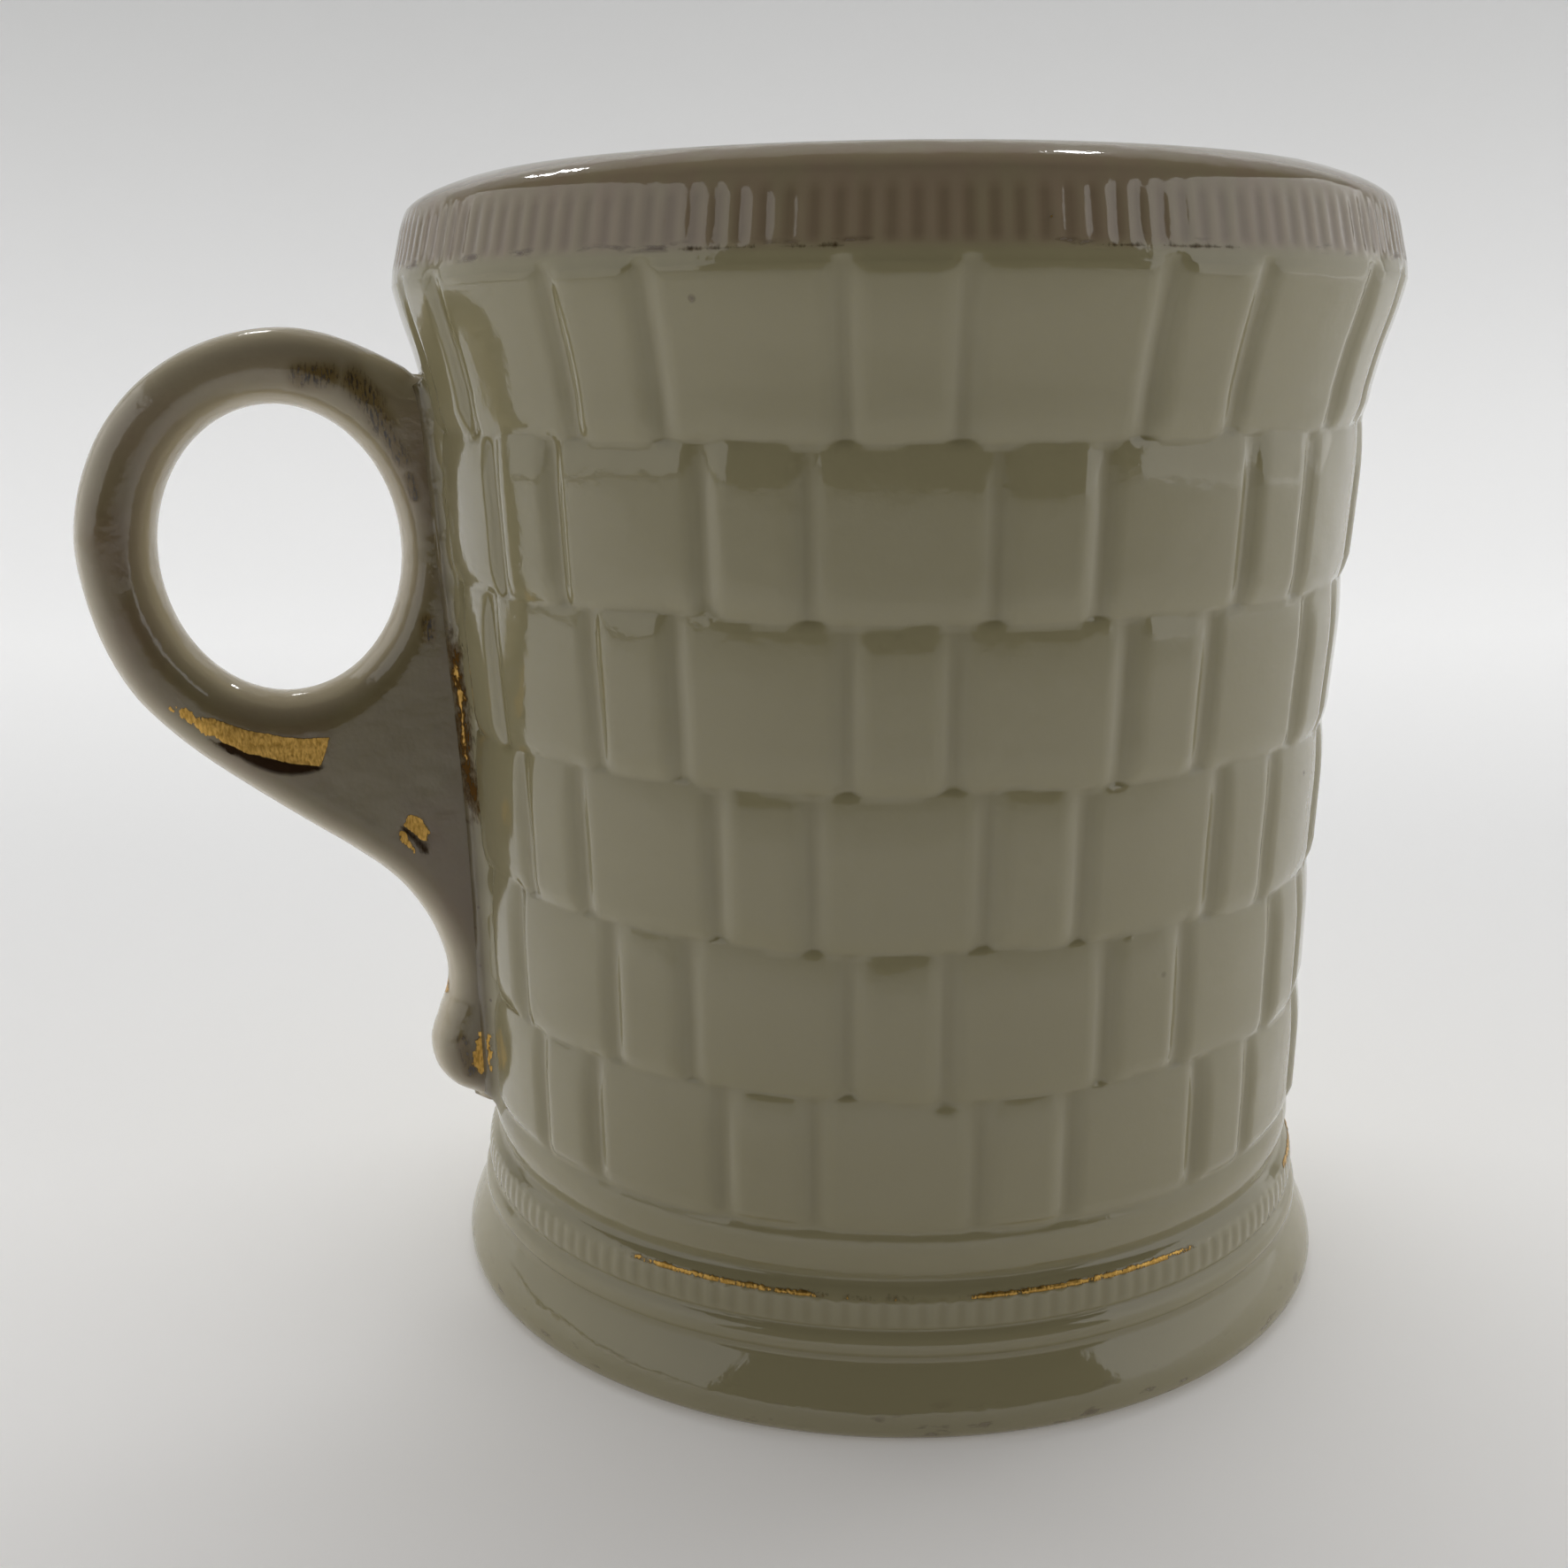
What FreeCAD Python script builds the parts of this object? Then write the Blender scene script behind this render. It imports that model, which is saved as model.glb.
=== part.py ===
import FreeCAD, Part
import math
import os
from FreeCAD import Vector

# Shaving mug in glazed white ware: a cast cup, a ring handle luted to it with slip, and
# the thin fired-on gold lines and patches. Millimetres. The origin is on the mug's axis, on
# the plane that the foot stands on. +Z is up and the handle points along -X.

# Driving dimensions
mug_height = 95.0
floor_thickness = 4.2
foot_recess = 3.4

lip_edge_radius = 42.5
lip_edge_height = 87.6
lip_shoulder_radius = 41.4
lip_shoulder_height = 92.2
lip_top_outline = [
    (41.0, 92.9),
    (40.4, 93.4),
    (39.4, 93.95),
    (38.0, 94.5),
    (36.8, 94.87),
]
crest_radius = 35.9

mouth_radius = 34.8
mouth_height = 94.0
mouth_round_radius = 35.2
mouth_round_height = 94.75
inside_outline = [
    (35.0, 91.5),
    (35.7, 87.0),
    (35.9, 80.0),
    (35.3, 66.0),
    (34.7, 54.0),
    (34.3, 38.0),
    (33.9, 22.0),
]
floor_corner_radius = 7.0
floor_corner_start = 33.6

wall_foot_radius = 37.3
wall_foot_height = 16.0
wall_outline = [
    (37.6, 25.0),
    (38.0, 44.0),
    (39.1, 63.0),
    (39.9, 76.0),
    (40.8, 80.6),
    (42.1, 84.4),
]

groove_radius = 36.7
groove_height = 11.9
bead_bulge = 0.4
reed_top_radius = 37.6
reed_bottom_radius = 37.8
reed_top_height = 11.2
reed_bottom_height = 8.3
reed_bulge = 0.15
fillet_bead_bulge = 0.25
foot_top_radius = 38.1
foot_top_height = 6.1
foot_shoulder_radius = 39.3
foot_shoulder_height = 3.9
foot_widest_radius = 40.1
foot_widest_height = 1.3
foot_edge_radius = 39.5
foot_inner_radius = 34.8
recess_slope = 1.4

handle_thickness = 8.2
handle_edge_round = 2.6
finger_hole_centre = (52.8, 65.7)
finger_hole_half_width = 9.8
finger_hole_half_height = 11.9
handle_root_radius = 36.6
handle_root_top = 78.7
crown_start = (42.2, 80.7)
handle_outline = [
    (44.6, 82.3),
    (51.0, 83.7),
    (61.2, 81.0),
    (67.6, 73.3),
    (69.2, 65.5),
    (67.3, 57.5),
    (61.8, 49.7),
    (52.8, 42.9),
    (45.0, 37.1),
    (41.9, 32.4),
    (40.8, 27.3),
]
drop_outline = [
    (42.0, 24.1),
    (42.8, 21.2),
    (41.8, 18.2),
    (39.2, 16.2),
]
curve_clearance = 2.5
shortest_long_edge = 2.5
flat_tolerance = 0.01

slip_thickness = 0.8
slip_margin = 1.0
slip_bottom = 14.9
slip_top = 80.2

gold_thickness = 0.2
foot_gold_bottom = 10.5
foot_gold_top = 11.2
rim_gold_bottom = 87.1
rim_gold_top = 88.4
seam_gold_width = 1.0
seam_gold_bottom = 18.0
seam_gold_top = 55.5
ring_patch = [(60.6, 51.9), (56.5, 49.4), (51.0, 48.0), (50.6, 50.0), (55.6, 51.5), (60.1, 53.2)]
tail_patch = [(45.6, 40.6), (44.4, 38.4), (43.2, 38.9), (44.0, 41.0)]


def point(radius, height, y=0.0):
    """A point of an outline: distance from the mug's axis, and height."""
    return Vector(-radius, y, height)


def line(start, end):
    return Part.makeLine(point(*start), point(*end))


def arc(start, middle, end):
    return Part.Arc(point(*start), point(*middle), point(*end)).toShape()


def spline(points):
    curve = Part.BSplineCurve()
    curve.interpolate([point(*p) for p in points])
    return curve.toShape()


def turned(face):
    """The solid that a flat section makes when it is turned about the mug's axis."""
    shape = face.revolve(Vector(0, 0, 0), Vector(0, 0, 1), 360)
    return shape if shape.ShapeType == "Solid" else Part.makeSolid(shape.Shells[0])


def single(shape):
    """The one solid in a boolean result, so that each simple node is one plain solid."""
    solids = shape.removeSplitter().Solids
    assert len(solids) == 1, "expected one solid, got %d" % len(solids)
    return solids[0]


def outside_edges():
    """The outer outline of the cup, from the foot's resting edge up to the lip's crest."""
    foot_edge = (foot_edge_radius, 0.0)
    foot_widest = (foot_widest_radius, foot_widest_height)
    foot_shoulder = (foot_shoulder_radius, foot_shoulder_height)
    foot_top = (foot_top_radius, foot_top_height)
    reed_bottom = (reed_bottom_radius, reed_bottom_height)
    reed_top = (reed_top_radius, reed_top_height)
    groove = (groove_radius, groove_height)
    wall_foot = (wall_foot_radius, wall_foot_height)
    lip_edge = (lip_edge_radius, lip_edge_height)
    lip_shoulder = (lip_shoulder_radius, lip_shoulder_height)
    crest = (crest_radius, mug_height)

    fillet_bead = ((foot_top_radius + reed_bottom_radius) / 2 + fillet_bead_bulge,
                   (foot_top_height + reed_bottom_height) / 2)
    reed = ((reed_bottom_radius + reed_top_radius) / 2 + reed_bulge,
            (reed_bottom_height + reed_top_height) / 2)
    bead = ((groove_radius + wall_foot_radius) / 2 + bead_bulge,
            (groove_height + wall_foot_height) / 2)
    return [
        spline([foot_edge, foot_widest, foot_shoulder, foot_top]),
        arc(foot_top, fillet_bead, reed_bottom),
        arc(reed_bottom, reed, reed_top),
        line(reed_top, groove),
        arc(groove, bead, wall_foot),
        spline([wall_foot] + wall_outline + [lip_edge]),
        line(lip_edge, lip_shoulder),
        spline([lip_shoulder] + lip_top_outline + [crest]),
    ]


def inside_edges():
    """The inner outline, from the crest over the mouth's round and down to the floor's axis."""
    crest = (crest_radius, mug_height)
    mouth_round = (mouth_round_radius, mouth_round_height)
    mouth = (mouth_radius, mouth_height)
    corner = floor_corner_radius
    floor = foot_recess + floor_thickness
    start_of_corner = (floor_corner_start, floor + corner)
    middle_of_corner = (floor_corner_start - corner * (1 - math.cos(math.pi / 4)),
                        floor + corner * (1 - math.sin(math.pi / 4)))
    end_of_corner = (floor_corner_start - corner, floor)
    return [
        arc(crest, mouth_round, mouth),
        spline([mouth] + inside_outline + [start_of_corner]),
        arc(start_of_corner, middle_of_corner, end_of_corner),
        line(end_of_corner, (0.0, floor)),
    ]


def underside_edges():
    """The foot ring's flat, its inner flank and the recessed underside."""
    recess_corner = (foot_inner_radius - recess_slope, foot_recess)
    return [
        line((0.0, foot_recess + floor_thickness), (0.0, foot_recess)),
        line((0.0, foot_recess), recess_corner),
        line(recess_corner, (foot_inner_radius, 0.0)),
        line((foot_inner_radius, 0.0), (foot_edge_radius, 0.0)),
    ]


def make_cup():
    return turned(Part.Face(Part.Wire(outside_edges() + inside_edges() + underside_edges())))


def filled_section(growth=0.0):
    """Half the section of the cup's outer form with no hollow, widened for a thin layer."""
    edges = outside_edges() + [
        line((crest_radius, mug_height), (-growth, mug_height)),
        line((-growth, mug_height), (-growth, 0.0)),
        line((-growth, 0.0), (foot_edge_radius, 0.0)),
    ]
    section = Part.Face(Part.Wire(edges))
    section.translate(Vector(-growth, 0, 0))
    return section


def side_face():
    """The handle's flat side outline, with the finger hole through it."""
    root_top = (handle_root_radius, handle_root_top)
    root_bottom = (handle_root_radius, drop_outline[-1][1])
    side = [
        spline([crown_start] + handle_outline + drop_outline),
        line(drop_outline[-1], root_bottom),
        line(root_bottom, root_top),
        line(root_top, crown_start),
    ]
    centre = point(*finger_hole_centre)
    hole = Part.Ellipse(centre + Vector(0, 0, finger_hole_half_height),
                        centre + Vector(-finger_hole_half_width, 0, 0), centre)
    return Part.Face(Part.Wire(side)).cut(Part.Face(Part.Wire(hole.toShape())))


def rounded_handle():
    """The handle's outline given its thickness, with its long edges rounded over."""
    flat = side_face()
    flat.translate(Vector(0, -handle_thickness / 2, 0))
    blank = single(flat.extrude(Vector(0, handle_thickness, 0)))
    rounded = []
    for edge in blank.Edges:
        box = edge.BoundBox
        outside_cup = box.XMin < -handle_root_radius - curve_clearance
        if box.YLength < flat_tolerance and outside_cup and box.XLength > shortest_long_edge:
            rounded.append(edge)
    return blank.makeFillet(handle_edge_round, rounded)


def make_handle(filled_cup):
    """The handle, cut to the cup's outside so that it sits face to face on the wall."""
    return single(rounded_handle().cut(filled_cup))


def root_block(width, bottom, top):
    """A box about the handle's root, used to keep or cut away one stretch of a thin layer."""
    reach = 2 * handle_root_radius
    return Part.makeBox(reach, width, top - bottom, Vector(-reach, -width / 2, bottom))


def make_luting_slip(filled_cup):
    """The line of slip down both flanks of the joint and under the drop, lying on the wall."""
    layer = turned(filled_section(slip_thickness)).cut(filled_cup)
    band = layer.common(root_block(handle_thickness + 2 * slip_margin, slip_bottom, slip_top))
    drop_bottom = drop_outline[-1][1]
    return single(band.cut(root_block(handle_thickness, drop_bottom, mug_height)))


def make_gold_ring(bottom, top):
    """A gold line that runs round the outside between two heights."""
    layer = filled_section(gold_thickness).cut(filled_section())
    reach = 2 * foot_widest_radius
    corners = [(0.0, bottom), (reach, bottom), (reach, top), (0.0, top), (0.0, bottom)]
    window = Part.Face(Part.makePolygon([point(*corner) for corner in corners]))
    return turned(layer.common(window).Faces[0])


def gold_patch(outline):
    """A thin closed patch on the flat of the handle's front side."""
    curve = Part.BSplineCurve()
    curve.interpolate([point(*p) for p in outline], PeriodicFlag=True)
    face = Part.Face(Part.Wire(curve.toShape()))
    face.translate(Vector(0, -handle_thickness / 2 - gold_thickness, 0))
    return face.extrude(Vector(0, gold_thickness, 0))


def make_handle_gold():
    """The patch left under the finger ring and the small one on the tail."""
    return Part.makeCompound([gold_patch(ring_patch), gold_patch(tail_patch)])


def make_seam_gold():
    """The gold line down the front of the joint, between the slip and the handle's flank."""
    inner = turned(filled_section(slip_thickness))
    strip = turned(filled_section(slip_thickness + seam_gold_width)).cut(inner)
    height = seam_gold_top - seam_gold_bottom
    reach = 2 * handle_root_radius
    corner = Vector(-reach, -handle_thickness / 2 - gold_thickness, seam_gold_bottom)
    return single(strip.common(Part.makeBox(reach, gold_thickness, height, corner)))


def export(name, shape):
    assert shape.isValid(), name + " is not valid"
    shape.exportStep(os.path.join("parts", name + ".step"))
    box = shape.optimalBoundingBox()
    print("%-16s %9.1f mm3  x %6.1f %6.1f  y %6.1f %6.1f  z %5.1f %5.1f" % (
        name, shape.Volume, box.XMin, box.XMax, box.YMin, box.YMax, box.ZMin, box.ZMax))


os.makedirs("parts", exist_ok=True)
filled_cup = turned(filled_section())
export("cup_body", make_cup())
export("handle", make_handle(filled_cup))
export("luting_slip", make_luting_slip(filled_cup))
export("rim_gilding", make_gold_ring(rim_gold_bottom, rim_gold_top))
export("foot_gilding", make_gold_ring(foot_gold_bottom, foot_gold_top))
export("handle_gilding", make_handle_gold())
export("seam_gilding", make_seam_gold())
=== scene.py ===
import math

import bmesh
import bpy
import numpy as np
import openvdb
from mathutils import Matrix, Vector


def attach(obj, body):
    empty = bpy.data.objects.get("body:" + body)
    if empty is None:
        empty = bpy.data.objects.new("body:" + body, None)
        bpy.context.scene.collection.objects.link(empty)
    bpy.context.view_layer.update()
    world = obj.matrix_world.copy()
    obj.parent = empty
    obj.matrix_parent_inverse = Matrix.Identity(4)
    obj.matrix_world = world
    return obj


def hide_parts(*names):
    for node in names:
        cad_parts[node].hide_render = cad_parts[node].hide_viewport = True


# A glazed shaving mug: a basket-weave cup, a ring handle stuck on with slip, and worn gold.
# Shapes are worked out in millimetres and turned to metres as each mesh is made.
# The cup stands on z = 0 round the Z axis, and its handle points along -X.

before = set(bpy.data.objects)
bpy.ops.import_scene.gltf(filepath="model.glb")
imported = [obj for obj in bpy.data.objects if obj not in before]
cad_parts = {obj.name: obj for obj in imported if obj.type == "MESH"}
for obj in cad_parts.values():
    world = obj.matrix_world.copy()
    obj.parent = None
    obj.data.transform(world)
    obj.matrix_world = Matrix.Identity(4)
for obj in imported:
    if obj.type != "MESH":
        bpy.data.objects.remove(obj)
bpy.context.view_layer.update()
millimetre = 0.001
print("frame loaded")


class Field:
    # a socket that Python's arithmetic signs work on, in a shader tree or a geometry tree
    def __init__(self, graph, socket):
        self.graph = graph
        self.socket = socket

    def maths(self, operation, *others):
        inputs = dict(enumerate((self, *others)))
        return self.graph.node("ShaderNodeMath", {"operation": operation}, inputs)

    def __add__(self, other):
        return self.maths("ADD", other)

    def __sub__(self, other):
        return self.maths("SUBTRACT", other)

    def __rsub__(self, other):
        return self.graph.node("ShaderNodeMath", {"operation": "SUBTRACT"}, {0: other, 1: self})

    def __mul__(self, other):
        return self.maths("MULTIPLY", other)

    def __truediv__(self, other):
        return self.maths("DIVIDE", other)

    def __rtruediv__(self, other):
        return self.graph.node("ShaderNodeMath", {"operation": "DIVIDE"}, {0: other, 1: self})

    def __pow__(self, power):
        return self.maths("POWER", power)

    def __abs__(self):
        return self.maths("ABSOLUTE")

    __radd__ = __add__
    __rmul__ = __mul__

    def floor(self):
        return self.maths("FLOOR")

    def sine(self):
        return self.maths("SINE")

    def lesser(self, other):
        return self.maths("MINIMUM", other)

    def greater(self, other):
        return self.maths("MAXIMUM", other)

    def smoothGreater(self, other, softness):
        return self.maths("SMOOTH_MAX", other, softness)

    def ramp(self, start, end, low=0.0, high=1.0, kind="LINEAR"):
        # the value's way from start to end, as a number from low to high that stops at both
        return self.graph.node("ShaderNodeMapRange", {"interpolation_type": kind, "clamp": True}, {
            "Value": self, "From Min": start, "From Max": end, "To Min": low, "To Max": high})


class Graph:
    # a node tree that is filled from Python
    def __init__(self, tree):
        self.tree = tree

    def node(self, kind, settings=None, inputs=None, output=0):
        made = self.tree.nodes.new(kind)
        for name, value in (settings or {}).items():
            setattr(made, name, value)
        for key, value in (inputs or {}).items():
            socket = self.entry(made, key)
            if isinstance(value, Field):
                self.tree.links.new(value.socket, socket)
            else:
                socket.default_value = value
        return Field(self, made.outputs[output]) if made.outputs else None

    def entry(self, made, key):
        if isinstance(key, int):
            return made.inputs[key]
        return next(socket for socket in made.inputs if socket.name == key and socket.enabled)

    def mix(self, factor, first, second, blend="MIX"):
        settings = {"data_type": "RGBA", "blend_type": blend}
        return self.node("ShaderNodeMix", settings, {"Factor": factor, "A": first, "B": second}, 2)

    def parts(self, vector):
        return [self.node("ShaderNodeSeparateXYZ", None, {0: vector}, part) for part in range(3)]

    def join(self, x, y, z):
        return self.node("ShaderNodeCombineXYZ", None, {0: x, 1: y, 2: z})


def smoothLine(points, steps):
    # a smooth line through the points, with the same number of steps between each pair
    points = np.array(points, float)
    ends = np.vstack([2 * points[0] - points[1], points, 2 * points[-1] - points[-2]])
    made = []
    for before, start, end, after in zip(ends, ends[1:], ends[2:], ends[3:]):
        for t in np.arange(steps) / steps:
            made.append(0.5 * (2 * start + (end - before) * t
                               + (2 * before - 5 * start + 4 * end - after) * t ** 2
                               + (3 * start - before - 3 * end + after) * t ** 3))
    made.append(points[-1])
    return np.array(made)


def bandFaces(lowStart, lowCount, highStart, highCount):
    # faces between two rings of points, whose counts may differ by a whole factor
    faces = []
    if lowCount == highCount:
        for i in range(lowCount):
            j = (i + 1) % lowCount
            faces.append((lowStart + i, lowStart + j, highStart + j, highStart + i))
    elif highCount > lowCount:
        ratio = highCount // lowCount
        for i in range(lowCount):
            here, there = lowStart + i, lowStart + (i + 1) % lowCount
            for step in range(ratio):
                first = highStart + (i * ratio + step) % highCount
                second = highStart + (i * ratio + step + 1) % highCount
                faces.append((here if step < (ratio + 1) // 2 else there, second, first))
            middle = highStart + (i * ratio + (ratio + 1) // 2) % highCount
            faces.append((here, there, middle))
    else:
        ratio = lowCount // highCount
        for i in range(highCount):
            here, there = highStart + i, highStart + (i + 1) % highCount
            for step in range(ratio):
                first = lowStart + (i * ratio + step) % lowCount
                second = lowStart + (i * ratio + step + 1) % lowCount
                faces.append((first, second, here if step < (ratio + 1) // 2 else there))
            middle = lowStart + (i * ratio + (ratio + 1) // 2) % lowCount
            faces.append((middle, there, here))
    return faces


def turnedMesh(rings):
    # a closed lathe shape from (radius, height, count) rings, in order from pole to pole
    points, faces, starts = [], [], []
    for radius, height, count in rings:
        starts.append(len(points))
        if radius == 0.0:
            points.append((0.0, 0.0, height))
            continue
        angles = np.arange(count) * 2 * math.pi / count
        points.extend(zip(radius * np.cos(angles), radius * np.sin(angles), [height] * count))
    for (low, high), (start, following) in zip(zip(rings, rings[1:]), zip(starts, starts[1:])):
        if low[0] == 0.0:
            faces += [(start, following + (i + 1) % high[2], following + i) for i in range(high[2])]
        elif high[0] == 0.0:
            faces += [(following, start + i, start + (i + 1) % low[2]) for i in range(low[2])]
        else:
            faces += bandFaces(start, low[2], following, high[2])
    return np.array(points), faces


def addMesh(name, points, faces):
    # a smooth-shaded object from points in millimetres
    mesh = bpy.data.meshes.new(name)
    mesh.from_pydata((np.array(points) * millimetre).tolist(), [], [tuple(face) for face in faces])
    mesh.validate()
    mesh.shade_smooth()
    made = bpy.data.objects.new(name, mesh)
    bpy.context.scene.collection.objects.link(made)
    return made


def keepValues(piece, name, values):
    # one number at each point, for a material to read
    kept = piece.data.attributes.new(name, "FLOAT", "POINT")
    kept.data.foreach_set("value", np.array(values, np.float32))


def mountPiece(piece, nodes):
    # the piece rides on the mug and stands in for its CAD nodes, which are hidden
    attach(piece, "root")
    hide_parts(*nodes)
    print(piece.name, len(piece.data.polygons), "faces")


def newMaterial(name):
    material = bpy.data.materials.new(name)
    material.use_nodes = True
    material.node_tree.nodes.clear()
    return material, Graph(material.node_tree)


def finishMaterial(graph, shader):
    graph.node("ShaderNodeOutputMaterial", None, {"Surface": shader})


glazeLook = {
    "cream": (0.333, 0.297, 0.170, 1.0),
    "pooledAndShaded": (0.28, 0.244, 0.128, 1.0),
    "lustre": (0.325, 0.24, 0.165, 1.0),
    "groove": (0.19, 0.135, 0.085, 1.0),
    "stain": (0.10, 0.06, 0.035, 1.0),
    "roughness": 0.05,
    "ior": 1.7,
    "ripple": 0.06,
}
# dark specks under the glaze: place on the cup in millimetres, and size
specks = [((-23.7, -34.5, 84.9), 0.30), ((6.1, -37.7, 37.0), 0.35), ((11.1, -36.0, 35.3), 0.35),
          ((27.2, -26.7, 47.9), 0.25), ((-12.0, 36.5, 52.0), 0.35), ((30.5, 24.0, 71.0), 0.3)]


def objectPlace(graph):
    # where the shaded point is on the mug, in millimetres
    place = graph.node("ShaderNodeTexCoord", None, None, 3)
    return graph.node("ShaderNodeVectorMath", {"operation": "SCALE"}, {
        0: place, "Scale": 1 / millimetre})


def noise(graph, place, scale, detail=2.0, stretch=(1.0, 1.0, 1.0), shift=0.0):
    moved = graph.node("ShaderNodeMapping", None, {
        "Vector": place, "Scale": stretch, "Location": (shift, shift, shift)})
    return graph.node("ShaderNodeTexNoise", None, {
        "Vector": moved, "Scale": scale, "Detail": detail})


def attribute(graph, name):
    return graph.node("ShaderNodeAttribute", {"attribute_name": name}, None, 2)


def glazeShader(graph, place, colour, roughness, bumpHeight):
    # a clear glaze whose surface ripples a little, by bumpHeight in millimetres
    ripple = noise(graph, place, 0.10, 2.0) * 3.0 + noise(graph, place, 0.5, 1.0) * 0.5 \
        + noise(graph, place, 2.2, 1.0) * 0.12
    bump = graph.node("ShaderNodeBump", None, {
        "Height": ripple, "Strength": 1.0, "Distance": bumpHeight * millimetre})
    shader = graph.node("ShaderNodeBsdfPrincipled", None, {
        "Base Color": colour, "Roughness": roughness, "IOR": glazeLook["ior"], "Normal": bump})
    finishMaterial(graph, shader)


def makeCupGlaze():
    material, graph = newMaterial("cupGlaze")
    place = objectPlace(graph)
    z = graph.parts(place)[2]
    cloud = noise(graph, place, 0.05, 3.0)
    # darker in the weave's hollows: glaze pooled there and, in part, painted shade; with a random
    # cloudy tone
    pool = attribute(graph, "pool").ramp(0.2, 1.0) * 0.8 + cloud.ramp(0.45, 0.75) * 0.25
    colour = graph.mix(pool.lesser(1.0), glazeLook["cream"], glazeLook["pooledAndShaded"])

    # thin brown lustre left on the lip, stronger over its ribs
    streaks = noise(graph, place, 0.5, 3.0, (1.0, 1.0, 0.12), 4.0)
    outside = attribute(graph, "outside")
    onLip = z.ramp(87.4, 88.6, 0.0, 1.0, "SMOOTHSTEP") * outside
    onLip = onLip.greater(z.ramp(91.5, 93.8)) * z.ramp(94.2, 95.2, 1.0, 0.4)
    tint = onLip * (0.45 + streaks.ramp(0.35, 0.7) * 0.4)
    colour = graph.mix(tint, colour, glazeLook["lustre"])
    # darker in the lip's rib grooves: pooled glaze and, in part, painted shade
    colour = graph.mix(attribute(graph, "pool") * onLip * 0.55, colour, glazeLook["groove"])

    # rubbed dashes where the lip's gold line has gone, and along the foot's edge
    dashes = noise(graph, place, 0.32, 4.0, (1.0, 1.0, 3.0), 9.0)
    lipLine = z.ramp(87.7, 88.0) * z.ramp(88.2, 88.6, 1.0, 0.0) * dashes.ramp(0.56, 0.66) * outside
    footLine = z.ramp(0.2, 0.7) * z.ramp(1.5, 3.6, 1.0, 0.0) * dashes.ramp(0.60, 0.68) * 0.7
    footLine = footLine * outside
    # seatLine darkens the lowest quarter millimetre of the foot, where it stands
    seatLine = z.ramp(0.0, 0.25, 1.0, 0.0) * 0.35
    marks = lipLine.greater(footLine).greater(seatLine)
    for spot, size in specks:
        gap = graph.node("ShaderNodeVectorMath", {"operation": "DISTANCE"}, {0: place, 1: spot}, 1)
        marks = marks.greater(gap.ramp(size * 0.7, size * 1.5, 1.2, 0.0))
    colour = graph.mix(marks * 0.75, colour, glazeLook["stain"])
    roughness = marks * 0.35 + cloud.ramp(0.3, 0.8, 0.0, 0.04) + glazeLook["roughness"]
    glazeShader(graph, place, colour, roughness, glazeLook["ripple"])
    return material


handleLook = {
    "glaze": (0.212, 0.173, 0.092, 1.0),
    "lustre": (0.20, 0.147, 0.085, 1.0),
    "pale": (0.64, 0.56, 0.40, 1.0),
    "amber": (0.15, 0.095, 0.02, 1.0),
    "streak": (0.025, 0.015, 0.006, 1.0),
    "roughness": 0.07,
    "ripple": 0.14,
}
# scratched streaks of old lustre on the handle's front: from, to, half width (x, z)
streakLines = [((-50.1, 79.9), (-47.9, 79.9), 0.8), ((-46.1, 79.5), (-44.7, 77.7), 0.9),
               ((-44.7, 77.7), (-44.0, 75.9), 0.8), ((-44.0, 75.9), (-42.5, 73.1), 0.55),
               ((-42.1, 71.7), (-41.7, 70.1), 0.35), ((-41.2, 59.8), (-41.2, 58.6), 0.5),
               ((-40.2, 22.3), (-39.6, 19.3), 0.45)]


def lineGap(x, z, start, end):
    # distance in the side plane from a short line
    run, rise = end[0] - start[0], end[1] - start[1]
    share = ((x - start[0]) * run + (z - start[1]) * rise) / (run * run + rise * rise)
    share = share.greater(0.0).lesser(1.0)
    return ((x - start[0] - share * run) ** 2 + (z - start[1] - share * rise) ** 2) ** 0.5


def makeHandleGlaze():
    material, graph = newMaterial("handleGlaze")
    place = objectPlace(graph)
    x, y, z = graph.parts(place)
    cloud = noise(graph, place, 0.11, 4.0, (1.0, 1.0, 1.0), 2.0)
    colour = graph.mix(cloud.ramp(0.4, 0.65), handleLook["glaze"], handleLook["lustre"])
    # painted light: the handle's edge band, its inner wall and crown, is painted paler, and its top
    # more so, for light from the backdrop and from above
    flank = abs(y).ramp(2.3, 4.0) * z.ramp(70.0, 84.0, 1.0, 0.55)
    colour = graph.mix((1 - flank) * 0.85, colour, handleLook["pale"])
    grain = noise(graph, place, 2.2, 3.0, (2.2, 1.0, 0.5), 5.0)
    front = y.ramp(-2.2, -1.2, 1.0, 0.0)
    film, comb = 0.0, 0.0
    for start, end, width in streakLines:
        gap = lineGap(x, z, start, end)
        film = gap.ramp(0.2, width * 2.1, 0.85, 0.0, "SMOOTHSTEP").greater(film)
        comb = gap.ramp(width * 0.5, width * 1.4, 1.0, 0.0).greater(comb)
    film = (film + (cloud - 0.5) * 0.8 * film) * front
    comb = comb * grain.ramp(0.50, 0.60) * front
    colour = graph.mix(film, colour, handleLook["amber"])
    colour = graph.mix(comb * 0.9, colour, handleLook["streak"])
    roughness = comb * 0.25 + cloud.ramp(0.3, 0.7, 0.0, 0.08) + handleLook["roughness"]
    glazeShader(graph, place, colour, roughness, handleLook["ripple"])
    return material


slipLook = {
    "grime": (0.13, 0.10, 0.055, 1.0),
    "pitScale": 0.9,
    "pitSize": 0.18,
    "ripple": 0.08,
}


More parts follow.
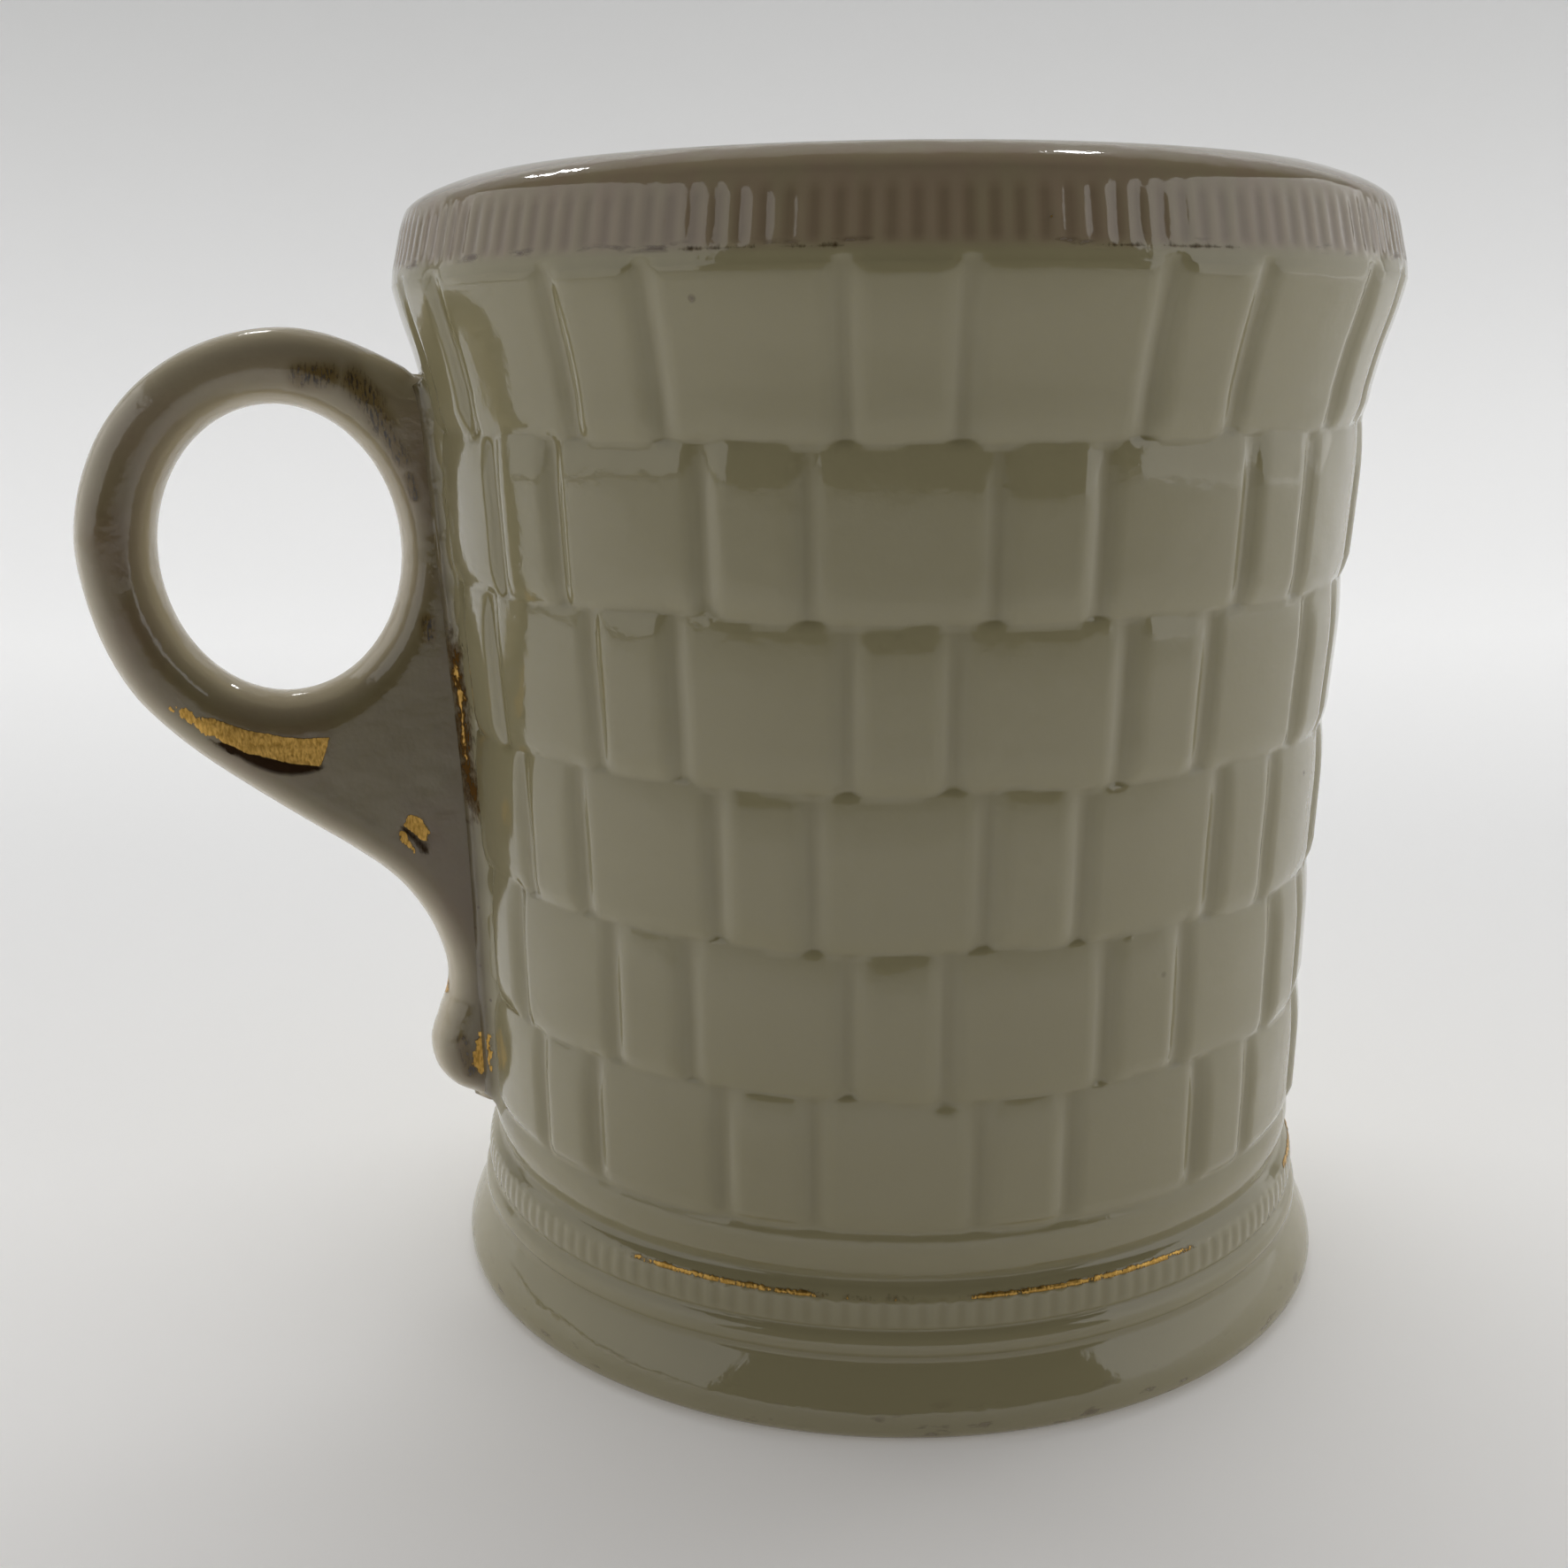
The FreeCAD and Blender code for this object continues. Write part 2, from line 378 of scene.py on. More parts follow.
def makeSlipGlaze():
    material, graph = newMaterial("slipGlaze")
    place = objectPlace(graph)
    cloud = noise(graph, place, 0.4, 3.0, (1.0, 1.0, 0.3), 7.0)
    seam = attribute(graph, "seam")
    colour = graph.mix(seam.ramp(0.45, 0.95), glazeLook["cream"], handleLook["glaze"])
    grimy = seam.ramp(0.78, 1.0) * cloud.ramp(0.3, 0.6, 0.35, 0.9)
    colour = graph.mix(grimy, colour, slipLook["grime"])
    dots = graph.node("ShaderNodeTexVoronoi", None, {
        "Vector": place, "Scale": slipLook["pitScale"]})
    pits = dots.ramp(0.10, slipLook["pitSize"], 1.0, 0.0) * cloud.ramp(0.5, 0.6)
    colour = graph.mix(pits * 0.7, colour, glazeLook["stain"])
    glazeShader(graph, place, colour, cloud.ramp(0.3, 0.8, 0.05, 0.1), slipLook["ripple"])
    return material


goldLook = {
    "bright": (0.72, 0.44, 0.12, 1.0),
    "dull": (0.40, 0.23, 0.05, 1.0),
    "burnt": (0.030, 0.013, 0.004, 1.0),
    "amber": (0.13, 0.065, 0.012, 1.0),
    "roughness": 0.28,
    "crisp": 0.14,
    "ragged": 1.1,
    "sheen": 0.05,
    "dent": 0.05,
}


def makeGold():
    # "gold" and "burnt" say how far inside each patch a point is, in millimetres
    material, graph = newMaterial("wornGold")
    place = objectPlace(graph)
    coarse = noise(graph, place, 0.9, 4.0, (1.0, 1.0, 0.6), 1.0) - 0.5
    fine = noise(graph, place, 4.5, 2.0, (1.0, 1.0, 0.4), 3.0)
    wear = attribute(graph, "wear")
    ragged = (coarse * 1.6 + (fine - 0.5)) * (wear * goldLook["ragged"] + goldLook["crisp"])
    shine = (attribute(graph, "gold") + ragged - wear * 0.35).ramp(-0.03, 0.05)
    burn = (attribute(graph, "burnt") + ragged).ramp(-0.12, 0.30)
    colour = graph.mix(fine.ramp(0.35, 0.6), goldLook["dull"], goldLook["bright"])
    colour = graph.mix(coarse.ramp(0.0, 0.2, 0.0, 0.6), colour, goldLook["dull"])
    ash = graph.mix(wear.ramp(0.2, 0.5), goldLook["burnt"], goldLook["amber"])
    colour = graph.mix(shine, ash, colour)
    dents = graph.node("ShaderNodeBump", None, {
        "Height": fine + coarse, "Strength": 1.0, "Distance": goldLook["dent"] * millimetre})
    shader = graph.node("ShaderNodeBsdfPrincipled", None, {
        "Base Color": colour, "Metallic": shine, "Alpha": shine.greater(burn * 0.9),
        "Roughness": (1 - shine) * 0.25 + fine.ramp(0.3, 0.7, 0.0, 0.12) + goldLook["roughness"],
        "Specular IOR Level": goldLook["sheen"], "Normal": dents})
    finishMaterial(graph, shader)
    return material


cupGlaze = makeCupGlaze()
handleGlaze = makeHandleGlaze()
slipGlaze = makeSlipGlaze()
gold = makeGold()
print("materials made")


cup = {
    "columns": 480,
    "ribColumns": 960,
    "insideColumns": 120,
    "rowCount": 6,
    "ringsPerRow": 16,
    "weaveBottom": 16.0,
    "weaveTop": 87.6,
    "rowStretch": 0.11,
    "stakes": 12,
    "stakeShare": 0.375,
    "stakeRise": 0.80,
    "blockRise": 0.62,
    "stakeEdge": 1.8,
    "blockDive": 1.4,
    "lowerEdge": 1.7,
    "upperEdge": 4.5,
    "tuck": 0.42,
    "roundness": 1.5,
    "waver": 0.09,
    "ribs": 160,
    "lipRibRise": 0.08,
    "footRibRise": 0.08,
    "wobble": 0.06,
    "waverSeed": 8.0,
    "wobbleSeed": 3.0,
    "lipRibFrom": 87.9,
    "lipRibTo": 92.4,
    "footRibFrom": 8.3,
    "footRibTo": 11.2,
    "outsideFrom": 36.3,
    "recessHeight": 3.4,
    "floorHeight": 7.6,
}

# profiles of the cup, (radius, height), in order from the underside's middle up and over the lip
underside = [(33.0, 3.4), (33.8, 2.9), (34.5, 0.7), (35.0, 0.05)]
footRing = [(39.3, 0.0), (39.9, 0.6), (40.1, 1.5), (39.8, 2.8), (39.1, 4.4), (38.1, 6.1)]
filletBead = [(38.1, 6.1), (38.45, 6.7), (38.3, 7.6), (37.75, 8.25)]
reedBand = [(37.75, 8.25), (37.95, 8.7), (37.95, 9.8), (37.8, 10.8), (37.5, 11.25), (36.75, 11.8)]
groove = [(36.75, 11.8), (36.8, 12.2), (37.15, 13.3), (37.35, 14.6), (37.2, 15.6), (36.95, 16.2)]
wall = [(36.95, 16.2), (37.15, 25.0), (37.55, 44.0), (38.7, 63.0), (39.5, 76.0), (40.3, 80.6),
        (41.5, 84.6), (42.3, 87.0)]
lip = [(42.3, 87.0), (42.52, 87.6), (42.38, 88.3), (42.15, 89.2), (41.92, 90.2), (41.68, 91.2),
       (41.42, 92.1), (41.1, 92.8), (40.4, 93.4), (39.4, 93.95), (38.0, 94.5), (36.8, 94.88),
       (35.9, 95.0), (35.2, 94.75), (34.8, 94.0)]
lipRibRings = 8
inside = [(34.8, 94.0), (35.0, 91.5), (35.7, 87.0), (35.9, 80.0), (35.3, 66.0), (34.7, 54.0),
          (34.3, 38.0), (33.9, 22.0), (33.6, 14.6)]
insideFloor = [(33.6, 14.6), (31.6, 9.7), (26.6, 7.6), (18.0, 7.6), (6.0, 7.6)]


def rowHeight(rowPlace):
    # the height where the weave has got to that many rows, counted from its foot
    shares = np.linspace(0, 1, 400)
    rows = cup["rowCount"] * (shares + cup["rowStretch"] * shares * (1 - shares) ** 2)
    share = np.interp(rowPlace, rows, shares)
    return cup["weaveBottom"] + share * (cup["weaveTop"] - cup["weaveBottom"])


def wallRings():
    line = smoothLine(wall, 12)
    places = []
    for row in range(cup["rowCount"]):
        steps = np.arange(cup["ringsPerRow"]) / cup["ringsPerRow"]
        places.extend(row + steps - 0.06 * np.sin(4 * math.pi * steps))
    heights = [rowHeight(place) for place in places[1:]]
    return [(float(np.interp(height, line[:, 1], line[:, 0])), float(height), cup["columns"])
            for height in heights if wall[0][1] < height < wall[-1][1]]


def lineRings(points, steps, count):
    return [(float(r), float(z), count) for r, z in smoothLine(points, steps)]


def cupRings():
    columns, ribColumns, inner = cup["columns"], cup["ribColumns"], cup["insideColumns"]
    rings = [(0.0, cup["recessHeight"], 1)]
    rings += [(radius, cup["recessHeight"], inner) for radius in (5.0, 14.0, 24.0, 31.0)]
    rings += lineRings(underside, 3, inner)
    rings += lineRings(footRing, 3, columns)[:-1]
    rings += lineRings(filletBead, 3, columns)[:-1]
    rings += lineRings(reedBand, 2, ribColumns)
    rings += lineRings(groove, 2, columns)[1:-1]
    rings += wallRings()
    lipRings = lineRings(lip, 2, ribColumns)
    rings += lipRings[:2 * lipRibRings]
    rings += [(radius, height, columns) for radius, height, count in lipRings[2 * lipRibRings:-1]]
    rings += lineRings(inside, 3, inner)
    rings += lineRings(insideFloor, 4, inner)[1:]
    rings += [(0.0, cup["floorHeight"], 1)]
    return rings


def weaveTree(material):
    # moves the cup's outer points in and out, for the woven blocks and the fine ribs
    tree = bpy.data.node_groups.new("basketWeave", "GeometryNodeTree")
    graph = Graph(tree)
    face = tree.interface
    face.new_socket("Geometry", in_out="INPUT", socket_type="NodeSocketGeometry")
    face.new_socket("Geometry", in_out="OUTPUT", socket_type="NodeSocketGeometry")
    names = ["Weave Bottom", "Weave Top", "Row Count", "Row Stretch", "Stakes", "Stake Share",
             "Stake Rise", "Block Rise", "Stake Edge", "Block Dive", "Lower Edge", "Upper Edge",
             "Tuck", "Roundness", "Waver", "Ribs", "Lip Rib Rise", "Foot Rib Rise", "Wobble",
             "Waver Seed", "Wobble Seed", "Lip Rib From", "Lip Rib To", "Foot Rib From",
             "Foot Rib To"]
    for name in names:
        face.new_socket(name, in_out="INPUT", socket_type="NodeSocketFloat")
    start = tree.nodes.new("NodeGroupInput")
    given = {name: Field(graph, start.outputs[name]) for name in names}
    position = graph.node("GeometryNodeInputPosition")
    inMillimetres = graph.node("ShaderNodeVectorMath", {"operation": "SCALE"}, {
        0: position, "Scale": 1 / millimetre})
    x, y, z = graph.parts(inMillimetres)
    outside = graph.node("GeometryNodeInputNamedAttribute", {"data_type": "FLOAT"}, {
        "Name": "outside"})
    turn = y.maths("ARCTAN2", x) * (180 / math.pi)
    radius = (x * x + y * y) ** 0.5

    share = (z - given["Weave Bottom"]) / (given["Weave Top"] - given["Weave Bottom"])
    rows = (share + given["Row Stretch"] * share * (1 - share) ** 2) * given["Row Count"]
    drift = graph.node("ShaderNodeTexNoise", {"noise_dimensions": "4D"}, {
        "Vector": inMillimetres, "W": given["Waver Seed"], "Scale": 0.07, "Detail": 1.0})
    inner = share.ramp(0.02, 0.10) * share.ramp(0.90, 0.98, 1.0, 0.0)
    rows = rows + (drift - 0.5) * 2 * given["Waver"] * inner
    row = rows.floor()
    along = rows - row
    tall = (given["Weave Top"] - given["Weave Bottom"]) / given["Row Count"]
    period = 360 / given["Stakes"]
    odd = row - (row * 0.5).floor() * 2
    angle = turn - odd * period * 0.5
    angle = abs(angle - (angle / period + 0.5).floor() * period)
    perDegree = radius * (math.pi / 180)
    halfStake = period * given["Stake Share"] * 0.5 * perDegree
    across = angle * perDegree

    # every block tucks under the row above and ends below in a rounded edge
    lower = 1 - (along * tall / given["Lower Edge"]).greater(0.0).lesser(1.0)
    upper = 1 - ((1 - along) * tall / given["Upper Edge"]).greater(0.0).lesser(1.0)
    course = (1 - lower ** given["Roundness"]) * (1 - upper * upper)
    course = course * (1 - given["Tuck"]) + given["Tuck"]
    edge = 1 - ((halfStake - across) / given["Stake Edge"]).greater(0.0).lesser(1.0)
    stake = (1 - edge ** given["Roundness"]) * course * given["Stake Rise"]
    dive = ((across - halfStake) / given["Block Dive"]).ramp(0.0, 1.0, 0.25, 1.0, "SMOOTHSTEP")
    block = course * dive * given["Block Rise"]
    block = block * (halfStake - across).ramp(0.0, 0.4, 1.0, 0.0)
    inWeave = (z - given["Weave Bottom"]).ramp(0.0, 0.8) * (given["Weave Top"] - z).ramp(0.0, 0.8)
    woven = stake.smoothGreater(block, 0.08) * inWeave

    wave = (turn * given["Ribs"] * (math.pi / 180)).sine()
    lipTo, footTo = given["Lip Rib To"], given["Foot Rib To"]
    onLip = z.ramp(given["Lip Rib From"], given["Lip Rib From"] + 0.6)
    onLip = onLip * z.ramp(lipTo - 1.2, lipTo, 1.0, 0.0)
    onFoot = z.ramp(given["Foot Rib From"], given["Foot Rib From"] + 0.5)
    onFoot = onFoot * z.ramp(footTo - 0.5, footTo, 1.0, 0.0)
    ribbed = wave * (onLip * given["Lip Rib Rise"] + onFoot * given["Foot Rib Rise"]) * 0.5

    bumps = graph.node("ShaderNodeTexNoise", {"noise_dimensions": "4D"}, {
        "Vector": inMillimetres, "W": given["Wobble Seed"], "Scale": 0.09, "Detail": 1.0})
    wobble = (bumps - 0.5) * 2 * given["Wobble"]
    rise = (woven + ribbed + wobble) * outside
    push = graph.join(x / radius, y / radius, 0.0)
    offset = graph.node("ShaderNodeVectorMath", {"operation": "SCALE"}, {
        0: push, "Scale": rise * millimetre})
    moved = graph.node("GeometryNodeSetPosition", None, {
        "Geometry": Field(graph, start.outputs["Geometry"]), "Offset": offset})
    # kept for the glaze: high in the weave's hollows and the ribs' grooves, which the glaze darkens
    # as pooled glaze and, in part, painted shade
    pool = 1 - (woven / given["Stake Rise"]).ramp(0.0, 0.6, 0.0, 1.0)
    ribGroovePoolAndShade = (0.5 - wave * 0.5) * (onLip + onFoot)
    pooledAndShaded = graph.node("GeometryNodeStoreNamedAttribute", {"data_type": "FLOAT"}, {
        "Geometry": moved, "Name": "pool", "Value": (pool * inWeave + ribGroovePoolAndShade) * outside})
    real = graph.node("GeometryNodeRealizeInstances", None, {0: pooledAndShaded})
    coloured = graph.node("GeometryNodeSetMaterial", None, {"Geometry": real, "Material": material})
    graph.node("NodeGroupOutput", None, {0: coloured})
    return tree, names


def bakeTree(source, tree, values, name):
    # runs a geometry tree on an object and keeps the result as a plain mesh
    modifier = source.modifiers.new(tree.name, "NODES")
    modifier.node_group = tree
    for item in tree.interface.items_tree:
        if item.in_out == "INPUT" and item.name in values:
            modifier[item.identifier] = float(values[item.name])
    evaluated = source.evaluated_get(bpy.context.evaluated_depsgraph_get())
    mesh = bpy.data.meshes.new_from_object(evaluated)
    mesh.name = name
    made = bpy.data.objects.new(name, mesh)
    bpy.context.scene.collection.objects.link(made)
    source.modifiers.clear()
    bpy.data.objects.remove(source)
    return made


def makeCup():
    rings = cupRings()
    points, faces = turnedMesh(rings)
    blank = addMesh("cupBlank", points, faces)
    outside = []
    crest = max(range(len(rings)), key=lambda i: rings[i][1])
    for i, (radius, height, count) in enumerate(rings):
        onOutside = i < crest and radius > cup["outsideFrom"]
        outside += [1.0 if onOutside else 0.0] * (1 if radius == 0.0 else count)
    keepValues(blank, "outside", outside)
    tree, names = weaveTree(cupGlaze)
    values = {}
    for name in names:
        key = name.replace(" ", "")
        values[name] = cup[key[0].lower() + key[1:]]  # "Stake Rise" takes stakeRise
    return bakeTree(blank, tree, values, "basketWeaveCup")


cupPiece = makeCup()
mountPiece(cupPiece, ["cup_body"])


handle = {
    "halfThickness": 4.1,
    "edgeRound": 3.1,
    "holeCentre": (-52.8, 65.7),
    "holeHalfWidth": 9.8,
    "holeHalfHeight": 11.9,
    "rootRadius": 35.9,
    "gridStep": 0.36,
    "gridLow": (-71.0, -5.2, 14.5),
    "gridHigh": (-34.6, 5.2, 85.4),
    "fitRounds": 4,
}
# the handle's side outline, (x, z), from its top root round the ring and down to the drop
handleOutline = [(-41.3, 79.9), (-42.51, 80.77), (-46.33, 82.59), (-50.26, 83.62), (-54.25, 83.49),
                 (-58.29, 82.34), (-61.73, 80.44), (-64.66, 77.76), (-66.91, 74.43), (-68.37, 70.63),
                 (-68.98, 66.78), (-68.60, 62.68), (-67.48, 58.38), (-65.55, 54.30), (-62.69, 50.86),
                 (-58.98, 47.55), (-52.8, 42.9), (-48.6, 39.9), (-45.0, 36.8), (-42.5, 33.1),
                 (-41.2, 29.4), (-41.1, 26.6), (-42.0, 24.0), (-42.8, 21.4), (-42.4, 19.0),
                 (-41.0, 17.2), (-39.2, 16.2)]


sideLine = smoothLine(handleOutline, 16)
holeSize = (handle["holeHalfWidth"], handle["holeHalfHeight"])
turns = np.radians(np.linspace(0, 360, 361))
holeLine = handle["holeCentre"] + np.stack([np.cos(turns), np.sin(turns)], 1) * holeSize


def nearest(curve, spots):
    # the nearest point of a line of short segments to each flat spot
    found = np.zeros(len(spots), int)
    batch = 6000  # spots taken at once, to keep the table of gaps small
    for start in range(0, len(spots), batch):
        part = spots[start:start + batch]
        across = (part[:, None, 0] - curve[None, :, 0]) ** 2
        upright = (part[:, None, 1] - curve[None, :, 1]) ** 2
        found[start:start + batch] = (across + upright).argmin(1)
    best, least = curve[found], np.full(len(spots), 1e9)
    for first in (found - 1, found):
        a = curve[np.clip(first, 0, len(curve) - 2)]
        b = curve[np.clip(first, 0, len(curve) - 2) + 1]
        span = b - a
        share = np.clip(((spots - a) * span).sum(1) / np.maximum((span ** 2).sum(1), 1e-9), 0, 1)
        foot = a + span * share[:, None]
        gap = np.hypot(*(spots - foot).T)
        closer = gap < least
        best = np.where(closer[:, None], foot, best)
        least = np.where(closer, gap, least)
    return best, least


def within(corners, spots):
    # whether each flat spot is inside a closed outline
    isInside = np.zeros(len(spots), bool)
    for (x0, z0), (x1, z1) in zip(corners, np.roll(corners, -1, 0)):
        if z0 != z1:
            crosses = (z0 > spots[:, 1]) != (z1 > spots[:, 1])
            isInside ^= crosses & (spots[:, 0] < x0 + (spots[:, 1] - z0) * (x1 - x0) / (z1 - z0))
    return isInside


def sideDepth(spots):
    # how far each spot is inside the handle's side outline, and which way that grows
    outer, outerGap = nearest(sideLine, spots)
    hole, holeGap = nearest(holeLine, spots)
    closed = np.vstack([sideLine, [(-30.0, sideLine[-1, 1]), (-30.0, sideLine[0, 1])]])
    holed = ((spots - handle["holeCentre"]) / holeSize) ** 2
    solid = within(closed, spots) & (holed.sum(1) > 1)
    gap = np.minimum(outerGap, holeGap)
    foot = np.where((outerGap < holeGap)[:, None], outer, hole)
    way = (spots - foot) / np.maximum(gap, 1e-6)[:, None]
    sign = np.where(solid, 1.0, -1.0)
    return gap * sign, way * sign[:, None]


def makeHandle():
    # the side outline given a round section, found on a grid and then drawn exactly onto it
    edgeRound, half, step = handle["edgeRound"], handle["halfThickness"], handle["gridStep"]
    low, high = np.array(handle["gridLow"]), np.array(handle["gridHigh"])
    counts = np.ceil((high - low) / step).astype(int) + 1
    xs, ys, zs = [low[k] + step * np.arange(counts[k]) for k in range(3)]
    flat = np.stack([a.ravel() for a in np.meshgrid(xs, zs, indexing="ij")], 1)
    depth = np.minimum(sideDepth(flat)[0], edgeRound).reshape(len(xs), 1, len(zs))
    section = np.hypot((edgeRound - depth) / edgeRound, ys[None, :, None] / half)
    value = np.minimum((1 - section) * edgeRound, -handle["rootRadius"] - xs[:, None, None])
    grid = openvdb.FloatGrid(-5.0)
    grid.copyFromArray(value.astype(np.float32))
    points, quads = grid.convertToQuads(isovalue=0.0)
    points = low + points * step
    free = points[:, 0] < -handle["rootRadius"] - 0.2
    for _ in range(handle["fitRounds"]):
        depth, way = sideDepth(points[:, [0, 2]])
        across = (edgeRound - np.minimum(depth, edgeRound)) / edgeRound
        along = points[:, 1] / half
        section = np.maximum(np.hypot(across, along), 1e-3)
        slope = np.zeros_like(points)
        slope[:, 0] = way[:, 0] * across / section
        slope[:, 2] = way[:, 1] * across / section
        slope[:, 1] = -along * edgeRound / half / section
        size = np.maximum((slope ** 2).sum(1), 0.2)
        push = np.clip((1 - section) * edgeRound / size, -0.3, 0.3)
        points = points - np.where(free, push, 0.0)[:, None] * slope
    return addMesh("ringHandle", points, quads[:, ::-1])


handlePiece = makeHandle()
handlePiece.data.materials.append(handleGlaze)
mountPiece(handlePiece, ["handle"])


slip = {
    "section": [(2.0, -0.9), (1.8, -0.4), (1.15, -0.02), (0.65, 0.28), (0.28, 0.68), (0.04, 1.2),
                (-0.35, 1.0), (-0.5, -1.0)],
    "top": 79.0,
    "bottom": 16.9,
    "tail": 1.6,
    "lumps": 0.25,
    "reach": 2.0,
    "blockFace": 0.45,
    "pathPoints": 420,
}


def wallRadius(height):
    # the cup's outer radius there, taken half-way up the relief
    line = smoothLine(wall, 8)
    return np.interp(height, line[:, 1], line[:, 0]) + slip["blockFace"]


def makeSlip():
    # a low bead swept round the line where the handle meets the cup
    heights = np.linspace(slip["bottom"], slip["top"], 160)
    radii = wallRadius(heights)
    depth = sideDepth(np.stack([-radii, heights], 1))[0]
    across = (handle["edgeRound"] - np.clip(depth, 0, handle["edgeRound"])) / handle["edgeRound"]
    halves = handle["halfThickness"] * np.sqrt(np.maximum(1 - across ** 2, 0.0))
    halves = np.maximum(halves, 0.15)
    loop = np.vstack([np.stack([-halves, heights], 1), np.stack([halves, heights], 1)[::-1]])
    lengths = np.hypot(*np.diff(np.vstack([loop, loop[:1]]), axis=0).T)
    way = np.concatenate([[0], np.cumsum(lengths)])
    around = np.linspace(0, way[-1], slip["pathPoints"], endpoint=False)
    closed = np.vstack([loop, loop[:1]])
    loop = np.stack([np.interp(around, way, closed[:, k]) for k in range(2)], 1)
    for _ in range(6):
        loop = (np.roll(loop, 1, 0) + loop * 2 + np.roll(loop, -1, 0)) / 4
    tangent = np.roll(loop, -1, 0) - np.roll(loop, 1, 0)
    tangent /= np.maximum(np.hypot(*tangent.T), 1e-6)[:, None]
    outward = np.stack([-tangent[:, 1], tangent[:, 0]], 1)
    middle = loop.mean(0)
    outward *= np.where(((loop - middle) * outward).sum(1).mean() > 0, 1.0, -1.0)
    points, seam = [], []
    section = slip["section"]
    for i, ((side, height), (outY, outZ)) in enumerate(zip(loop, outward)):
        lump = 1 + slip["lumps"] * math.sin(i * 0.37) * math.sin(i * 0.113 + 1.0)
        drip = slip["tail"] * max(0.0, -outZ) ** 6
        for k, (away, rise) in enumerate(section):
            reach = away * lump + (drip if away > 0.2 else 0.0) * away / slip["reach"]
            sideways = side + outY * reach
            up = height + outZ * reach
            radius = float(wallRadius(up)) + rise
            points.append((-math.sqrt(max(radius ** 2 - sideways ** 2, 1.0)), sideways, up))
            seam.append(min(1.0, max(0.0, 1 - away / slip["reach"])))
    faces = []
    sides, count = len(section), len(loop)
    for i in range(count):
        for k in range(sides):
            a, b = i * sides, (i + 1) % count * sides
            j = (k + 1) % sides
            faces.append((a + k, b + k, b + j, a + j))
    made = addMesh("lutingSlip", points, faces)
    keepValues(made, "seam", seam)
    return made


def faceOutwards(piece):
    # turns a closed mesh's faces outwards if they point in
    mesh = bmesh.new()
    mesh.from_mesh(piece.data)
    bmesh.ops.recalc_face_normals(mesh, faces=mesh.faces)
    if mesh.calc_volume(signed=True) < 0:
        bmesh.ops.reverse_faces(mesh, faces=mesh.faces)
    mesh.to_mesh(piece.data)
    mesh.free()


slipPiece = makeSlip()
faceOutwards(slipPiece)
faceOutwards(handlePiece)
slipPiece.data.materials.append(slipGlaze)
mountPiece(slipPiece, ["luting_slip"])


leaf = {
    "lift": 0.03,
    "sink": 0.05,
    "margin": 0.6,
    "seamGold": (46.5, 57.0),
    "seamDropGold": (18.5, 24.0),
    "seamBurn": (43.0, 58.0),
    "footLineHeight": 10.95,
    "footRadius": 37.6,
    "lipGoldHeight": 89.7,
    "lipStainHeight": 88.0,
    "lipGoldRadius": 42.0,
    "lipStainRadius": 42.4,
}

# patches on the handle's front side: outlines of the gold and of the burnt edge, (x, z)
ringGold = [(-62.4, 53.5), (-61.7, 54.1), (-60.2, 53.0), (-58.7, 52.4), (-57.5, 51.8),
            (-56.3, 51.3), (-54.9, 51.0), (-53.5, 50.6), (-51.8, 50.4), (-49.8, 50.4),
            (-50.1, 49.3), (-50.7, 47.9), (-51.9, 48.1), (-53.3, 48.4), (-54.7, 48.8),
            (-55.8, 49.2), (-56.6, 49.4), (-57.7, 50.1), (-58.8, 50.6), (-59.7, 50.9),
            (-60.4, 51.3), (-61.8, 52.7)]
ringBurn = [(-60.0, 50.9), (-58.6, 49.9), (-57.2, 49.0), (-55.9, 48.1), (-54.5, 47.5),
            (-53.1, 47.3), (-51.6, 47.35), (-50.4, 47.8), (-50.6, 48.2), (-52.6, 48.5),
            (-55.0, 49.1), (-57.5, 50.3)]
tailGold = [(-44.3, 42.4), (-43.9, 43.4), (-43.0, 43.3), (-42.4, 42.8), (-42.0, 41.8),
            (-42.2, 40.5), (-42.9, 40.9), (-43.6, 41.8)]
tailEdge = [(-44.6, 41.8), (-44.2, 42.2), (-43.8, 41.3), (-43.1, 40.3), (-43.1, 39.5),
            (-43.5, 39.6), (-44.1, 40.3), (-44.6, 41.0)]
tailBurn = [(-44.4, 42.3), (-43.6, 41.9), (-42.9, 41.0), (-42.2, 40.6), (-42.2, 39.7),
            (-42.8, 39.7), (-43.2, 40.5), (-43.9, 41.4)]
dropGold = [(-38.6, 23.7), (-37.6, 23.4), (-37.4, 21.8), (-37.9, 19.5), (-38.9, 18.8),
            (-39.6, 20.0), (-39.1, 22.0)]
neckGold = [(-41.9, 28.0), (-40.9, 27.9), (-40.8, 26.1), (-41.1, 25.6), (-42.2, 26.0)]
# where the lines on the foot and the lip are still gold, or have left a stain, in degrees
footKept = [(-139.0, -112.5), (-111.0, -108.5), (-105.8, -104.6), (-97.5, -64.5), (-38.0, -15.0),
            (24.0, 61.0), (88.0, 117.0), (140.0, 152.0)]
lipKept = [(-92.6, -91.9), (-91.0, -90.6), (18.0, 21.0), (71.0, 76.0)]
lipStain = [(-125.5, -119.0), (-115.2, -113.6), (-112.6, -111.2), (-86.5, -84.0), (-82.0, -74.0),
            (-30.0, -22.0), (40.0, 49.0), (95.0, 108.0), (146.0, 151.0)]


def between(values, limits):
    # how far each value is inside two limits; below nought outside
    return np.minimum(values - limits[0], limits[1] - values)


def degreesRound(points):
    return np.degrees(np.arctan2(points[:, 1], points[:, 0]))


def depthIn(patch, spots):
    # how far each flat spot is inside a patch's outline; below nought outside
    gap = nearest(np.array(patch + patch[:1]), spots)[1]
    return np.where(within(np.array(patch), spots), gap, -gap)


def depthInRuns(runs, angles, radius):
    # the same for runs of a line round the cup, given in degrees
    best = np.full(len(angles), -99.0)
    for limits in runs:
        best = np.maximum(best, between(angles, limits))
    return best * math.pi / 180 * radius


